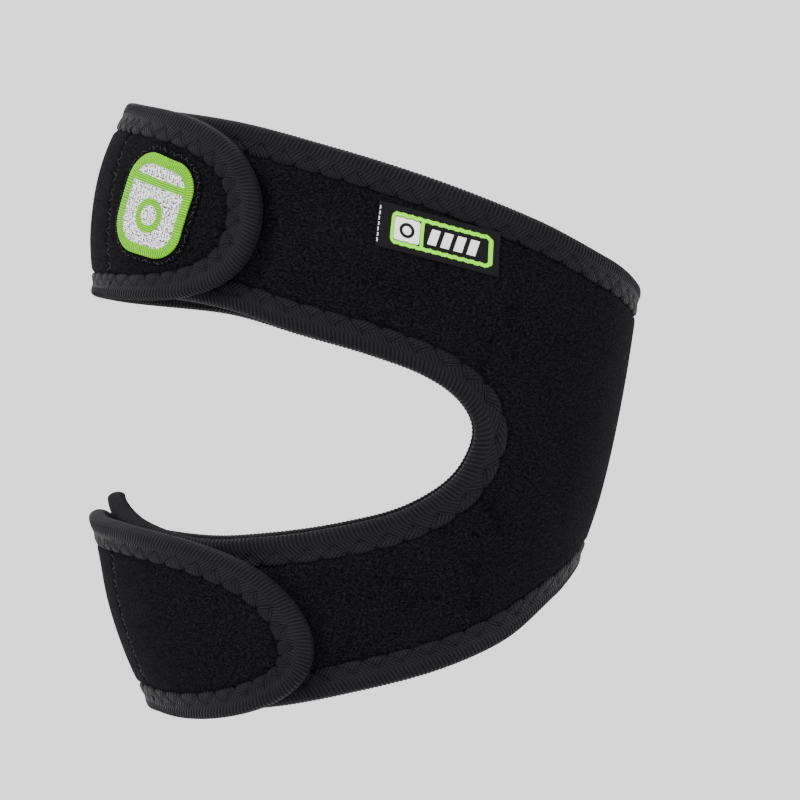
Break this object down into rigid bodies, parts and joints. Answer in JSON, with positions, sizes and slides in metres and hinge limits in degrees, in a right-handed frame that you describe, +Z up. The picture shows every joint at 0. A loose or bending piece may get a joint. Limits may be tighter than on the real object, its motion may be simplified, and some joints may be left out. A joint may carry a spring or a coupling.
{
  "type": "patella strap",
  "caption": "Open-front neoprene knee strap that forks from a wide back panel into two arms above and below the kneecap, closed by hook-and-loop tabs.",
  "frame": {"origin": "middle of the knee, inside the hollow, level with the middle of the kneecap window", "axes": "+Z up the leg, -X to the kneecap, +X to the back of the knee, -Y to the side with the label, where the tabs close"},
  "size_m": [0.142, 0.1186, 0.1574],
  "materials": {
    "loop_cloth": "black unbroken loop pile on foam",
    "binding_tape": "charcoal ribbed elastic tape with a dull sheen",
    "hook_tape": "black nylon hooks",
    "label_weave": "satin woven label, black with lime and white",
    "badge_felt": "black brushed backing cloth",
    "embroidery": "lime rayon satin stitch round a white stitched ground"
  },
  "bodies": {
    "root": {"main_panel": "loop_cloth", "upper_tab": "loop_cloth", "lower_tab": "loop_cloth", "top_binding": "binding_tape", "bottom_binding": "binding_tape", "near_window_binding": "binding_tape", "far_window_binding": "binding_tape", "upper_tab_binding": "binding_tape", "lower_tab_binding": "binding_tape", "upper_hook_patch": "hook_tape", "lower_hook_patch": "hook_tape", "side_label": "label_weave", "badge_backing": "badge_felt", "badge": "embroidery"}
  },
  "joints": []
}
